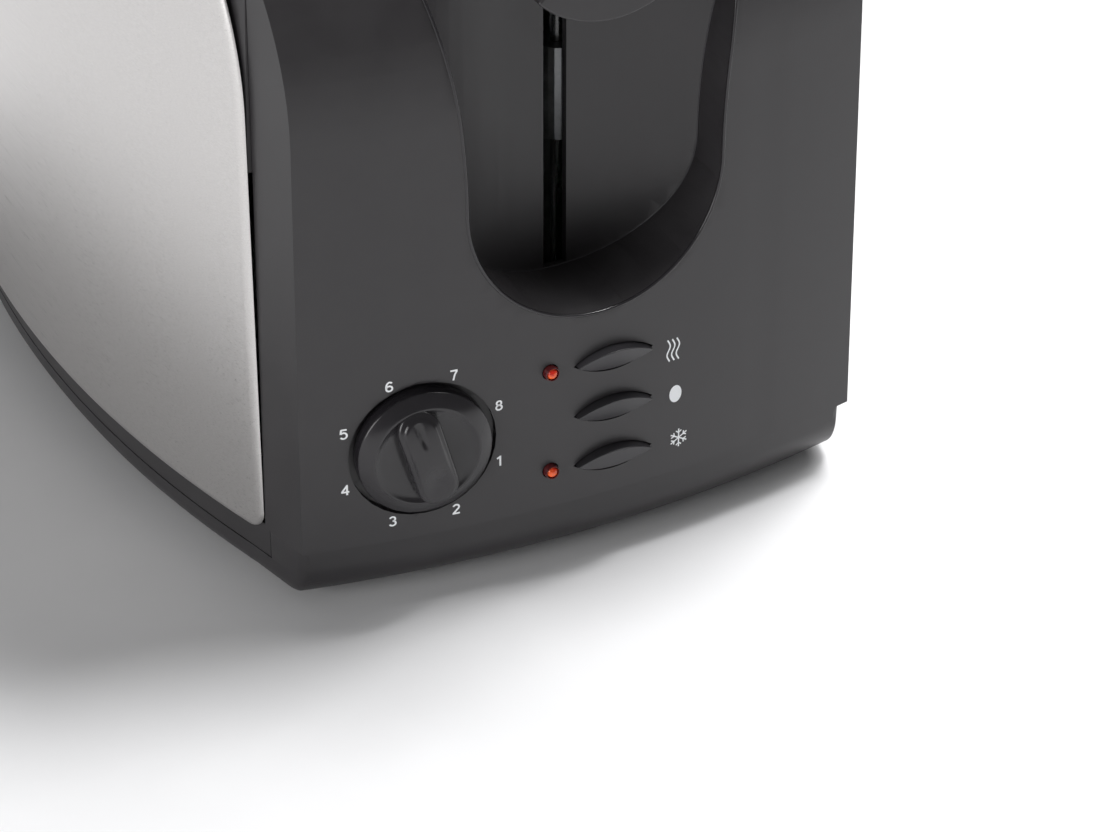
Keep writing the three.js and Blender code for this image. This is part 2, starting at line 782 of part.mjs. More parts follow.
// A rack of upright wires between two long wires, which grips one side of a slice.
function breadGuard() {
  const wire = 1.6;
  const near = ovenFront + 8;
  const far = ovenRear - 8;
  const bottom = ovenBottom + 10;
  const top = ovenTop - 5;
  const uprights = 9;
  const pitch = (far - near - wire) / (uprights - 1);
  const holes = [];
  for (let i = 0; i < uprights - 1; i++) {
    const y = near + wire + pitch * i;
    holes.push(block([-wire, wire], [y, y + pitch - wire], [bottom + wire, top - wire]));
  }
  return cutBy(block([-wire / 2, wire / 2], [near, far], [bottom, top]), ...holes);
}

// ---- Carriage and lever ----
const rodBottom = 22;
const rodTop = 170;
const springX = -24;
const springY = -86;
const springRadius = 4;
const springWire = 0.6;
const springTop = 168;
const carriageFront = -90.8;
const carriageBack = -80;
const carriageBottom = 97;
const carriageTop = 111;
const armWidth = 2.4;
const armClearance = 0.3;
const knobBack = -134;
const armInKnob = 6; // how far the lever arm goes into the knob
const armBar = 12; // height of the arm where it enters the knob

function guideRod() {
  return cylinderZ(rodRadius, rodBottom, rodTop, rodX, rodY, 16);
}

function carriage() {
  const crossbar = block([-44, 44], [carriageFront, carriageBack], [carriageBottom, carriageTop]);
  const hub = cylinderZ(5.5, carriageBottom, carriageTop + 12, rodX, rodY, 20);
  const bore = cylinderZ(rodRadius + 0.25, carriageBottom - 5, carriageTop + 20, rodX, rodY, 16);
  return cutBy(joined(crossbar, hub), bore);
}

// A toothed rail under one slice, with an arm forward through the end plate.
function breadLifter(side) {
  const middle = side * slotX;
  const railHalf = 7;
  const near = ovenFront + 8;
  const far = ovenRear - 8;
  const railEdges = [middle - railHalf, middle + railHalf];
  const rail = block(railEdges, [near, far], [lifterTop - 3, lifterTop]);
  const armEdges = [middle - 2, middle + 2];
  const arm = block(armEdges, [carriageBack + gap, near + 1], [carriageBottom, lifterTop]);
  const gaps = [];
  const teeth = 7;
  const pitch = (far - near) / teeth;
  for (let i = 0; i < teeth; i++) {
    const y = near + pitch * (i + 0.5);
    for (const edge of [-1, 1]) {
      const outer = middle + edge * (railHalf + 1);
      const inner = middle + edge * 2.5;
      const xRange = [Math.min(outer, inner), Math.max(outer, inner)];
      gaps.push(block(xRange, [y - pitch / 4, y + pitch / 4], [lifterTop - 4, lifterTop + 1]));
    }
  }
  return cutBy(joined(rail, arm), ...gaps);
}

// A steel strip from the carriage up and out through the slot to the knob.
function leverArm() {
  const front = knobBack - armInKnob;
  const back = carriageFront - gap;
  const upright = 8;
  const shape = new THREE.Shape();
  shape.moveTo(front, knobZ - armBar / 2);
  shape.lineTo(back - upright, knobZ - armBar / 2);
  shape.lineTo(back - upright, carriageBottom + 2);
  shape.lineTo(back, carriageBottom + 2);
  shape.lineTo(back, knobZ + armBar / 2);
  shape.lineTo(front, knobZ + armBar / 2);
  shape.closePath();
  return extrudeX(shape, -armWidth / 2, armWidth / 2);
}

function leverKnob() {
  const front = frontY - knobReach;
  const body = solidOf(extrudeY(lens(0, knobZ, knobWidth, knobHeight), front, knobBack, 1, 14));
  const half = armWidth / 2 + armClearance;
  const pocket = block(
    [-half, half],
    [knobBack - armInKnob - armClearance, knobBack + 1],
    [knobZ - armBar / 2 - armClearance, knobZ + armBar / 2 + armClearance],
  );
  return cutBy(body, pocket);
}

class Helix extends THREE.Curve {
  constructor(radius, length, turns) {
    super();
    this.radius = radius;
    this.length = length;
    this.turns = turns;
  }
  getPoint(t, target = new THREE.Vector3()) {
    const angle = 2 * Math.PI * this.turns * t;
    const x = this.radius * Math.cos(angle);
    const y = this.radius * Math.sin(angle);
    return target.set(x, y, this.length * t);
  }
}

function returnSpring() {
  const turns = 8;
  const length = springTop - carriageTop - 2 * gap - 2 * springWire;
  const path = new Helix(springRadius, length, turns);
  const section = new THREE.Shape();
  section.absarc(0, 0, springWire, 0, 2 * Math.PI, false);
  const steps = turns * 10;
  return new THREE.ExtrudeGeometry(section, { extrudePath: path, steps, curveSegments: 2 });
}

// ---- Latch and controls ----
const behindFace = frontY + wall + 0.8; // clear of the bowed wall near the middle
const flangeBack = behindFace + 1.5;
const buttonStemEnd = -129.3;
const buttonTravel = 1.5;
const armatureThickness = 1.7;

function armature() {
  const top = carriageBottom - gap;
  return block([springX - 8, springX + 8], [-90, -80.5], [top - armatureThickness, top]);
}

// The magnet that holds the armature down: a core with a coil round it.
function holdingMagnet() {
  const top = carriageBottom - gap - armatureThickness - leverTravel - 0.4;
  const floor = baseFloorTop + gap;
  const profile = [[0, floor], [7, floor], [7, floor + 2], [6, floor + 3], [6, top - 4]];
  profile.push([7, top - 3], [7, top - 2], [4, top - 2], [4, top], [0, top]);
  const geometry = latheY(profile, 20);
  geometry.rotateX(Math.PI / 2);
  return geometry;
}

function controlBoard() {
  const back = boardFront + boardThickness;
  return block(boardSpan, [boardFront, back], [boardFoot, 70]);
}

function tactSwitch() {
  return block([-3, 3], [buttonStemEnd + buttonTravel + gap, boardFront - gap], [-3, 3]);
}

function button() {
  const half = buttonHeight / 2;
  const tilt = 2.9; // the upper edge stands out by this much, the lower edge is flush
  const cap = frontY - 0.1;
  const side = new THREE.Shape();
  side.moveTo(cap, -half);
  side.lineTo(cap - tilt, half);
  side.lineTo(flangeBack, half);
  side.lineTo(flangeBack, -half);
  side.closePath();
  const outline = lens(0, 0, buttonWidth, buttonHeight);
  const body = solidOf(extrudeY(outline, frontY - 5, flangeBack, 1, 7));
  const shaped = body.intersect(solidOf(extrudeX(side, -buttonWidth, buttonWidth)));
  const flangeOutline = lens(0, 0, buttonWidth + 3, buttonHeight + 2.6);
  const flange = solidOf(extrudeY(flangeOutline, behindFace, flangeBack, 1, 4));
  const stem = cylinderY(2, flangeBack - 0.5, buttonStemEnd, 0, 0, 12);
  return joined(shaped, flange, stem);
}

function lampLens() {
  const tip = frontY - 1.5;
  const profile = [[0, tip], [lampRadius * 0.6, tip + 0.3], [lampRadius, tip + 1.2]];
  profile.push([lampRadius, behindFace], [2.9, behindFace], [2.9, flangeBack], [0, flangeBack]);
  return latheY(profile, 16);
}

const dialPointer = THREE.MathUtils.degToRad(105); // which way the grip points at rest
const dialBack = dialWellDepth - 0.4;
const dialShaftEnd = 9;

// Distances along Y are from the face; the front of the dial is towards -Y.
function browningDial() {
  const rim = -1.9;
  const crown = -3.8;
  const dish = -2.4;
  const shaftRadius = 3;
  const profile = [[0, dish], [8, dish - 0.3], [13.4, crown], [dialRadius, rim]];
  profile.push([dialRadius, dialBack], [shaftRadius, dialBack]);
  profile.push([shaftRadius, dialShaftEnd], [0, dialShaftEnd]);
  const knob = solidOf(latheY(profile, 28));
  const gripLength = 28;
  const grip = new THREE.Shape();
  const half = 5.6;
  const straight = gripLength / 2 - half;
  grip.absarc(straight, 0, half, -Math.PI / 2, Math.PI / 2, false);
  grip.absarc(-straight, 0, half, Math.PI / 2, 1.5 * Math.PI, false);
  const bar = extrudeY(grip, -7.4, -1, 1, 8);
  bar.rotateY(-dialPointer);
  return joined(knob, solidOf(bar));
}

function potentiometer() {
  const front = dialPadBack + gap;
  const bore = 3.3;
  const boreEnd = dialShaftEnd + 0.5;
  const radius = 8.5;
  const back = 15;
  const profile = [[bore, front], [radius, front], [radius, back], [0, back]];
  profile.push([0, boreEnd], [bore, boreEnd], [bore, front]);
  return latheY(profile, 16);
}

function cordGland() {
  const hole = 3.6;
  const collar = 7.4; // inside the cap
  const flange = 8; // against the cap's outside
  const inner = 128;
  const collarEnd = 134;
  const flangeStart = 140.4;
  const outer = 143.4;
  const profile = [[hole, inner], [collar, inner], [collar, collarEnd], [glandRadius, collarEnd]];
  profile.push([glandRadius, flangeStart], [flange, flangeStart], [flange, flangeStart + 1.6]);
  profile.push([6, outer], [hole, outer], [hole, inner]);
  return latheY(profile, 16);
}

// ---- Assembly ----
const toaster = new THREE.Group();

function add(parent, name, shape, finish, place = [0, 0, 0]) {
  const geometry = shape.isBufferGeometry ? shape : geometryOf(shape);
  const mesh = new THREE.Mesh(geometry, new THREE.MeshStandardMaterial(finish));
  mesh.name = name;
  mesh.position.set(...place);
  parent.add(mesh);
}

const sides = [["left", -1], ["right", 1]];

add(toaster, "base", base(), blackPlastic);
add(toaster, "front_cap", frontCap(), blackPlastic);
add(toaster, "rear_cap", rearCap(), blackPlastic);
add(toaster, "top_cover", topCover(), blackPlastic);
for (const [name, side] of sides) {
  add(toaster, `${name}_side_panel`, sidePanel(side), brushedSteel);
  add(toaster, `${name}_side_rail`, sideRail(side), blackPlastic);
  add(toaster, `${name}_reflector`, reflector(), galvanised, [side * (ovenHalfWidth - 2), 0, 0]);
  add(toaster, `${name}_heater`, heaterBoard(), mica, [side * 61, 0, 0]);
  for (const [place, offset] of [["outer", 1], ["inner", -1]]) {
    const x = side * (slotX + offset * (slotWidth / 2 - 0.5));
    add(toaster, `${name}_slot_${place}_guard`, breadGuard(), brightWire, [x, 0, 0]);
  }
  add(toaster, `${name}_bread_lifter`, breadLifter(side), galvanised);
}
add(toaster, "centre_heater", heaterBoard(), mica);
add(toaster, "oven_front_plate", frontPlate(), galvanised);
add(toaster, "oven_rear_plate", endPlate(ovenRear, 1, [], []), galvanised);
add(toaster, "guide_rod", guideRod(), brightWire);
add(toaster, "carriage", carriage(), galvanised);
add(toaster, "lever_arm", leverArm(), brightWire);
add(toaster, "lever_knob", leverKnob(), blackPlastic);
const springFoot = carriageTop + gap + springWire;
add(toaster, "return_spring", returnSpring(), brightWire, [springX, springY, springFoot]);
add(toaster, "armature", armature(), galvanised);
add(toaster, "holding_magnet", holdingMagnet(), copper, [springX, -85.3, 0]);
add(toaster, "control_board", controlBoard(), boardGreen);
["upper", "middle", "lower"].forEach((name, row) => {
  const z = buttonZ + (1 - row) * buttonPitch;
  add(toaster, `${name}_button`, button(), glossPlastic, [buttonX, 0, z]);
  add(toaster, `${name}_switch`, tactSwitch(), darkPlastic, [buttonX, 0, z]);
});
add(toaster, "upper_lamp_lens", lampLens(), redLens, [lampX, 0, lampHeights[0]]);
add(toaster, "lower_lamp_lens", lampLens(), redLens, [lampX, 0, lampHeights[1]]);

const dialGroup = new THREE.Group();
dialGroup.position.set(dialX, frontY + bow(dialX), dialZ);
dialGroup.rotation.z = dialYaw;
toaster.add(dialGroup);
add(dialGroup, "browning_dial", browningDial(), glossPlastic);
add(dialGroup, "dial_potentiometer", potentiometer(), galvanised);

add(toaster, "crumb_tray", crumbTray(), galvanised);
add(toaster, "cord_gland", cordGland(), darkPlastic, [glandX, 0, glandZ]);
const ends = ["front", "rear"];
footPlaces.forEach(([x, y], i) => {
  add(toaster, `${sides[Math.floor(i / 2)][0]}_${ends[i % 2]}_foot`, foot(), rubber, [x, y, 0]);
});
postPlaces.forEach(([x, y], i) => {
  const name = `${sides[Math.floor(i / 2)][0]}_${ends[i % 2]}_screw`;
  add(toaster, name, baseScrew(), galvanised, [x, y, 0]);
});

export default toaster;
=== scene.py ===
# The looks of a two-slice pop-up toaster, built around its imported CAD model.
# Metres, +Z up. The control end faces -Y, and +X is to the right seen from that end.
import math

import bmesh
import bpy
from mathutils import Matrix, Vector


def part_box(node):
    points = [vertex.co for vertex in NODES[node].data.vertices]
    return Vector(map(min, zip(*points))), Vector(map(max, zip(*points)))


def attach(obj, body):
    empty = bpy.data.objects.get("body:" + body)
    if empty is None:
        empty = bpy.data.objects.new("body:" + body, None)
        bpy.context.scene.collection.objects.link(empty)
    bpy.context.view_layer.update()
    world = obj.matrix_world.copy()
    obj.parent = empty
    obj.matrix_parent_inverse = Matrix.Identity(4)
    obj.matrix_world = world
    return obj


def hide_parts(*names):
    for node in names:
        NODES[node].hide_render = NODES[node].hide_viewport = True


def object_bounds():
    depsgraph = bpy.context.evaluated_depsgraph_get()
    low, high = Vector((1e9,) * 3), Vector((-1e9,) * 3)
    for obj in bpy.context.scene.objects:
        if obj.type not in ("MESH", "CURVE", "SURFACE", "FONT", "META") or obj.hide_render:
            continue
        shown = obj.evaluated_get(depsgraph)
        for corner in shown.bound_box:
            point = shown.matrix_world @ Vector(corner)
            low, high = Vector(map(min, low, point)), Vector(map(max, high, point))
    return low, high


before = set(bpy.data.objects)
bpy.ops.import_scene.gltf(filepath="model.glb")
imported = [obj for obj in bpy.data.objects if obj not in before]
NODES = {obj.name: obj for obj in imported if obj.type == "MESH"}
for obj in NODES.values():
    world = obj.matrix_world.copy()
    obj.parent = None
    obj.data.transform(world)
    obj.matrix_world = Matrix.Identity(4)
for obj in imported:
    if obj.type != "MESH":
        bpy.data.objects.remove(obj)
cad_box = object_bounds()
MM = 0.001

# ---- Places and sizes, in millimetres, worked out from the frame ----
def edges(node):
    """The low and high corners of a CAD node's box."""
    low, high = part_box(node)
    return low / MM, high / MM


CAP_LOW, CAP_HIGH = edges("front_cap")
DIAL_LOW, DIAL_HIGH = edges("browning_dial")
FRONT = CAP_LOW.y  # the control end's foremost point
TOP = CAP_HIGH.z
HALF_LENGTH = -FRONT
FACE_HALF_WIDTH = 78  # at the bottom edge of the end face
FACE_TAPER = 0.01
FACE_BOW = 351  # radius of the end face in plan
LEAN_FROM = 134  # above this height the end face leans back
LEAN_RADIUS = 83
CREST_RADIUS = 13
SEAM_HEIGHT = 20
SEAM_Y = HALF_LENGTH - 24  # where the caps end and the steel begins
BASE_BULGE_Y = HALF_LENGTH - 31.4  # where the sides of the base start to bulge
SHOULDER_RADIUS = 12
BAND_FLARE = 0.235
PANEL_HALF_WIDTH = cad_box[1].x / MM  # at mid length
PANEL_BULGE = 400  # radius of the sides in plan
BASE_BOTTOM = 2
BASE_SIDE_INSET = 1.5
BASE_FRONT_INSET = 2.6
BASE_END_CURVE = 12
BASE_SIDE_CURVE = 6
RECESS_RADIUS = 34.7
RECESS_Z = 108.9
RECESS_FLARE = 230
RECESS_BACK_RADIUS = 65.6
RECESS_BACK_CENTRE = FRONT + 24.7 - RECESS_BACK_RADIUS
DIAL_X = (DIAL_LOW.x + DIAL_HIGH.x) / 2
DIAL_Z = (DIAL_LOW.z + DIAL_HIGH.z) / 2
ROLL = math.asin((TOP - CREST_RADIUS - LEAN_FROM) / (LEAN_RADIUS - CREST_RADIUS))


def bow(x):
    return FACE_BOW - math.sqrt(FACE_BOW**2 - x**2)


def band_half_width(y):
    corner = HALF_LENGTH - bow(FACE_HALF_WIDTH)
    return FACE_HALF_WIDTH + BAND_FLARE * (corner - abs(y))


def panel_x(y):
    return PANEL_HALF_WIDTH - PANEL_BULGE + math.sqrt(PANEL_BULGE**2 - y**2)


def cover_half_width(y):
    return panel_x(y) - panel_x(SEAM_Y) + band_half_width(SEAM_Y)


def base_half_width(y):
    if abs(y) > BASE_BULGE_Y:
        return band_half_width(y) - BASE_SIDE_INSET
    return panel_x(y) - panel_x(BASE_BULGE_Y) + band_half_width(BASE_BULGE_Y) - BASE_SIDE_INSET


def face_y(x, z):
    """Where the control end's surface is: bowed, and leaning back in its upper part."""
    rise = max(0, z - LEAN_FROM)
    return FRONT + bow(x) + LEAN_RADIUS - math.sqrt(LEAN_RADIUS**2 - rise**2)


# ---- Camera ----
def make_camera():
    azimuth = math.radians(26.82)
    elevation = math.radians(33.02)
    data = bpy.data.cameras.new("camera")
    data.sensor_width = 36
    data.lens = 128.04
    data.clip_start = 0.05
    data.clip_end = 20
    camera = bpy.data.objects.new("camera", data)
    bpy.context.scene.collection.objects.link(camera)
    ahead = Vector(
        (
            math.sin(azimuth) * math.cos(elevation),
            math.cos(azimuth) * math.cos(elevation),
            -math.sin(elevation),
        )
    )
    camera.location = (-0.3832, -0.8757, 0.5813)
    camera.rotation_euler = ahead.to_track_quat("-Z", "Y").to_euler()
    bpy.context.scene.camera = camera


make_camera()


# ---- Materials ----
def new_material(name, **sockets):
    """A material with constants set on the shader's own sockets."""
    material = bpy.data.materials.new(name)
    material.use_nodes = True
    shader = material.node_tree.nodes["Principled BSDF"]
    for socket, value in sockets.items():
        shader.inputs[socket.replace("_", " ")].default_value = value
    return material


def add_node(material, kind, **values):
    node = material.node_tree.nodes.new(kind)
    for socket, value in values.items():
        node.inputs[socket.replace("_", " ")].default_value = value
    return node


def link(material, source, socket, target, target_socket):
    material.node_tree.links.new(source.outputs[socket], target.inputs[target_socket])


def object_noise(material, scale, stretch=(1, 1, 1), detail=4.0):
    """Noise fixed to the object, stretched along its axes."""
    place = add_node(material, "ShaderNodeTexCoord")
    mapping = add_node(material, "ShaderNodeMapping")
    mapping.inputs["Scale"].default_value = stretch
    noise = add_node(material, "ShaderNodeTexNoise", Scale=scale, Detail=detail)
    link(material, place, "Object", mapping, "Vector")
    link(material, mapping, "Vector", noise, "Vector")
    return noise


def shade_by(material, noise, socket, low, high):
    """The noise moves one shader socket between two values."""
    spread = add_node(material, "ShaderNodeMapRange")
    spread.inputs["To Min"].default_value = low
    spread.inputs["To Max"].default_value = high
    spread.inputs["From Min"].default_value = 0.3
    spread.inputs["From Max"].default_value = 0.7
    shader = material.node_tree.nodes["Principled BSDF"]
    link(material, noise, "Fac", spread, "Value")
    link(material, spread, "Result", shader, socket)


def colour_by(material, noise, dark, light):
    ramp = add_node(material, "ShaderNodeValToRGB")
    ramp.color_ramp.elements[0].position = 0.35
    ramp.color_ramp.elements[0].color = (*dark, 1)
    ramp.color_ramp.elements[1].position = 0.65
    ramp.color_ramp.elements[1].color = (*light, 1)
    shader = material.node_tree.nodes["Principled BSDF"]
    link(material, noise, "Fac", ramp, "Fac")
    link(material, ramp, "Color", shader, "Base Color")


def bump_by(material, noise, strength, distance):
    bump = add_node(material, "ShaderNodeBump")
    bump.inputs["Strength"].default_value = strength
    bump.inputs["Distance"].default_value = distance
    shader = material.node_tree.nodes["Principled BSDF"]
    link(material, noise, "Fac", bump, "Height")
    link(material, bump, "Normal", shader, "Normal")


def moulded_plastic(name, dark, light, roughness, grain):
    """Black plastic: faint mottling, and a fine moulded grain in its surface."""
    material = new_material(name)
    mottle = object_noise(material, 60)
    colour_by(material, mottle, dark, light)
    shade_by(material, mottle, "Roughness", roughness - 0.04, roughness + 0.05)
    fine = object_noise(material, 2600, detail=2.0)
    bump_by(material, fine, grain, 0.00006)
    return material


def brushed_metal(name, dark, light, roughness, stretch, depth):
    """Metal with fine scratches along one axis of the object."""
    material = new_material(name, Metallic=1.0)
    scratches = object_noise(material, 260, stretch, detail=6.0)
    colour_by(material, scratches, dark, light)
    shade_by(material, scratches, "Roughness", roughness - 0.06, roughness + 0.08)
    bump_by(material, scratches, depth, 0.00004)
    return material


MATERIALS = {
    "satin": moulded_plastic(
        "satin_plastic", (0.026, 0.024, 0.026), (0.031, 0.029, 0.031),
        roughness=0.38, grain=0.3,
    ),
    "button": moulded_plastic(
        "button_plastic", (0.03, 0.029, 0.032), (0.036, 0.034, 0.038),
        roughness=0.34, grain=0.15,
    ),
    "gloss": moulded_plastic(
        "gloss_plastic", (0.016, 0.015, 0.017), (0.022, 0.02, 0.023),
        roughness=0.17, grain=0.03,
    ),
    "dark": moulded_plastic(
        "dark_plastic", (0.015, 0.015, 0.016), (0.022, 0.022, 0.023),
        roughness=0.55, grain=0.2,
    ),
    "rubber": moulded_plastic(
        "rubber", (0.008, 0.008, 0.008), (0.014, 0.014, 0.014),
        roughness=0.85, grain=0.5,
    ),
    "steel": brushed_metal(
        "brushed_steel", (0.6, 0.585, 0.575), (0.67, 0.655, 0.645),
        roughness=0.32, stretch=(18, 0.12, 18), depth=0.05,
    ),
    "zinc": brushed_metal(
        "zinc_sheet", (0.42, 0.43, 0.44), (0.56, 0.57, 0.58),
        roughness=0.4, stretch=(1, 1, 1), depth=0.15,
    ),
    "wire": brushed_metal(
        "bright_wire", (0.55, 0.55, 0.55), (0.68, 0.68, 0.68),
        roughness=0.24, stretch=(1, 1, 0.1), depth=0.1,
    ),
    "copper": brushed_metal(
        "copper_winding", (0.42, 0.18, 0.07), (0.62, 0.3, 0.13),
        roughness=0.35, stretch=(1, 1, 12), depth=0.6,
    ),
    "mica": moulded_plastic(
        "mica_board", (0.42, 0.37, 0.26), (0.58, 0.53, 0.41),
        roughness=0.6, grain=0.4,
    ),
    "board": moulded_plastic(
        "circuit_board", (0.02, 0.1, 0.04), (0.035, 0.15, 0.06),
        roughness=0.35, grain=0.1,
    ),
    "print": moulded_plastic(
        "white_print", (0.9, 0.92, 0.94), (0.94, 0.95, 0.96),
        roughness=0.5, grain=0.05,
    ),
}


def lamp_red():
    """Clear red plastic over a lamp that is off."""
    material = new_material("red_lens", Roughness=0.08, IOR=1.5)
    depth = object_noise(material, 700, detail=1.0)
    colour_by(material, depth, (0.6, 0.02, 0.008), (0.95, 0.14, 0.03))
    return material


MATERIALS["red"] = lamp_red()
# Dark maroon for the ring round each lamp dome: painted shade standing in for the darker edge of the
# red lens.
MATERIALS["lens_edge_shade"] = moulded_plastic(
    "lamp_ring_painted_shade", (0.05, 0.006, 0.008), (0.09, 0.012, 0.014), roughness=0.16, grain=0.02
)


# ---- Mesh helpers ----
def new_piece(name, mesh, material, smooth_angle=35):
    piece = bpy.data.objects.new(name, mesh)
    bpy.context.scene.collection.objects.link(piece)
    mesh.materials.clear()
    mesh.materials.append(MATERIALS[material])
    if smooth_angle:
        mesh.shade_smooth()
        mesh.set_sharp_from_angle(angle=math.radians(smooth_angle))
    return piece


def rounded(piece, width, segments=3, angle=32):
    """Rounds the piece's edges by a bevel, in millimetres."""
    bevel = piece.modifiers.new("rounded_edges", "BEVEL")
    bevel.width = width * MM
    bevel.segments = segments
    bevel.limit_method = "ANGLE"
    bevel.angle_limit = math.radians(angle)
    bevel.harden_normals = True
    bevel.use_clamp_overlap = True
    return piece


def mesh_of(work, name):
    """Ends the work on a mesh and gives it as mesh data."""
    mesh = bpy.data.meshes.new(name)
    work.to_mesh(mesh)
    work.free()
    return mesh


def join_rings(work, rings):
    """Fills the strip between each closed ring of points and the next."""
    for here, there in zip(rings, rings[1:]):
        for i in range(len(here)):
            j = (i + 1) % len(here)
            work.faces.new((here[i], here[j], there[j], there[i]))


def cut_up(work, axis, places):
    """Adds edges where planes across one axis meet the mesh."""
    normal = Vector((0, 0, 0))
    normal[axis] = 1
    for place in places:
        geometry = work.verts[:] + work.edges[:] + work.faces[:]
        bmesh.ops.bisect_plane(
            work, geom=geometry, dist=1e-7, plane_co=normal * place * MM, plane_no=normal
        )


def every(start, stop, step):
    count = int((stop - start) / step) + 1
    return [start + step * i for i in range(count)]


def on_arc(a, b, centre_a, centre_b, radius, reach):
    """The point (a, b) moved onto an arc if it is within reach of it, or None."""
    off = Vector((a - centre_a, b - centre_b))
    if abs(off.length - radius) > reach:
        return None
    off = off.normalized() * radius
    return centre_a + off.x, centre_b + off.y


# Each snap takes a point and the direction of its face. It gives the point's place on the true
# curve, or None where the curve doesn't apply. A reach is how far a point may be moved.
FACE_REACH = 0.4
LEAN_REACH = 0.5
RECESS_WALL_REACH = 0.9
RECESS_BACK_REACH = 0.5
SHOULDER_REACH = 0.6
COVER_SIDE_REACH = 0.5
BASE_REACH = 0.8


def snap_end_face(p, normal):
    """Bowed end face, its lean and the crest above it."""
    bowed = bow(p.x)
    flat = p.y - bowed
    if normal.y > -0.15 and normal.z < 0.2:
        return None
    if p.z <= LEAN_FROM:
        if abs(flat - FRONT) < FACE_REACH and normal.y < -0.5:
            return Vector((p.x, FRONT + bowed, p.z))
        return None
    crest_y = FRONT + LEAN_RADIUS - (LEAN_RADIUS - CREST_RADIUS) * math.cos(ROLL)
    crest_z = TOP - CREST_RADIUS
    turn = math.atan2(p.z - LEAN_FROM, FRONT + LEAN_RADIUS - flat)
    if turn < ROLL:
        found = on_arc(flat, p.z, FRONT + LEAN_RADIUS, LEAN_FROM, LEAN_RADIUS, LEAN_REACH)
    elif flat < crest_y:
        found = on_arc(flat, p.z, crest_y, crest_z, CREST_RADIUS, LEAN_REACH)
    else:
        return None
    return found and Vector((p.x, found[0] + bowed, found[1]))


def snap_recess(p, normal):
    """The recess: a U seen from the end, and a hollow back wall."""
    if abs(normal.y) < 0.05 and abs(p.x) < 60:
        if p.z < RECESS_Z:
            found = on_arc(p.x, p.z, 0, RECESS_Z, RECESS_RADIUS, RECESS_WALL_REACH)
        else:
            middle = math.copysign(RECESS_RADIUS + RECESS_FLARE, p.x)
            found = on_arc(p.x, p.z, middle, RECESS_Z, RECESS_FLARE, RECESS_WALL_REACH)
        if found:
            return Vector((found[0], p.y, found[1]))
    if abs(normal.z) < 0.05 and normal.y < -0.3:
        found = on_arc(
            p.x, p.y, 0, RECESS_BACK_CENTRE, RECESS_BACK_RADIUS, RECESS_BACK_REACH
        )
        if found:
            return Vector((found[0], found[1], p.z))
    return None


def shoulder_snap(half_width):
    """A snap for the rounded shoulders: their outline stretched across to the width at each y."""

    def snap(p, _normal):
        stretch = half_width(p.y) / FACE_HALF_WIDTH
        corner_z = TOP - SHOULDER_RADIUS
        corner_x = FACE_HALF_WIDTH - FACE_TAPER * (corner_z - SEAM_HEIGHT) - SHOULDER_RADIUS
        across = abs(p.x) / stretch
        if p.z < corner_z or across < corner_x:
            return None
        found = on_arc(across, p.z, corner_x, corner_z, SHOULDER_RADIUS, SHOULDER_REACH)
        return found and Vector((math.copysign(found[0] * stretch, p.x), p.y, found[1]))

    return snap


def snap_cover_side(p, normal):
    """The cover's sides, which lean in a little towards the top."""
    if abs(normal.x) < 0.8 or p.z > TOP - SHOULDER_RADIUS:
        return None
    taper = 1 - FACE_TAPER * (p.z - SEAM_HEIGHT) / FACE_HALF_WIDTH
    x = cover_half_width(p.y) * taper
    if abs(abs(p.x) - x) >= COVER_SIDE_REACH:
        return None
    return Vector((math.copysign(x, p.x), p.y, p.z))


def base_insets(z):
    """How far the base curves in under its ends and its sides at a height."""
    rise = z - BASE_BOTTOM
    end = math.asin(max(0, 1 - rise / BASE_END_CURVE))
    side = math.asin(max(0, 1 - rise / BASE_SIDE_CURVE))
    return BASE_END_CURVE * (1 - math.cos(end)), BASE_SIDE_CURVE * (1 - math.cos(side))


def snap_base_end(p, normal):
    """The base's two ends, bowed like the end faces and curving under."""
    if abs(normal.y) < abs(normal.x) or p.z < BASE_BOTTOM:
        return None
    y = HALF_LENGTH - BASE_FRONT_INSET - base_insets(p.z)[0] - bow(p.x)
    if abs(abs(p.y) - y) >= BASE_REACH:
        return None
    return Vector((p.x, math.copysign(y, p.y), p.z))


def snap_base_side(p, normal):
    """The sides of the base and of its rails, curving under."""
    if abs(normal.x) < abs(normal.y) or p.z < BASE_BOTTOM:
        return None
    x = base_half_width(p.y) - base_insets(p.z)[1]
    if abs(abs(p.x) - x) >= BASE_REACH:
        return None
    return Vector((math.copysign(x, p.x), p.y, p.z))


def turned(snap):
    """The same snap for the far end, which is the near end turned half way round."""

    def at_far_end(p, normal):
        back = Vector((-1, -1, 1))
        found = snap(p * back, normal * back)
        return found and found * back

    return at_far_end


def round_corners(work, radius):
    """Rounds the four outer upright corners."""
    outer = 60  # the casing's own corners lie further out than this
    corners = []
    for edge in work.edges:
        ahead = all(abs(v.co.y) > (SEAM_Y + 0.5) * MM for v in edge.verts)
        outside = ahead and all(abs(v.co.x) > outer * MM for v in edge.verts)
        upright = abs(edge.verts[0].co.z - edge.verts[1].co.z) > 0.2 * MM
        if outside and upright and edge.is_convex and edge.calc_face_angle(0) > 0.8:
            corners.append(edge)
    bmesh.ops.bevel(work, geom=corners, offset=radius * MM, segments=5, profile=0.5, affect="EDGES")


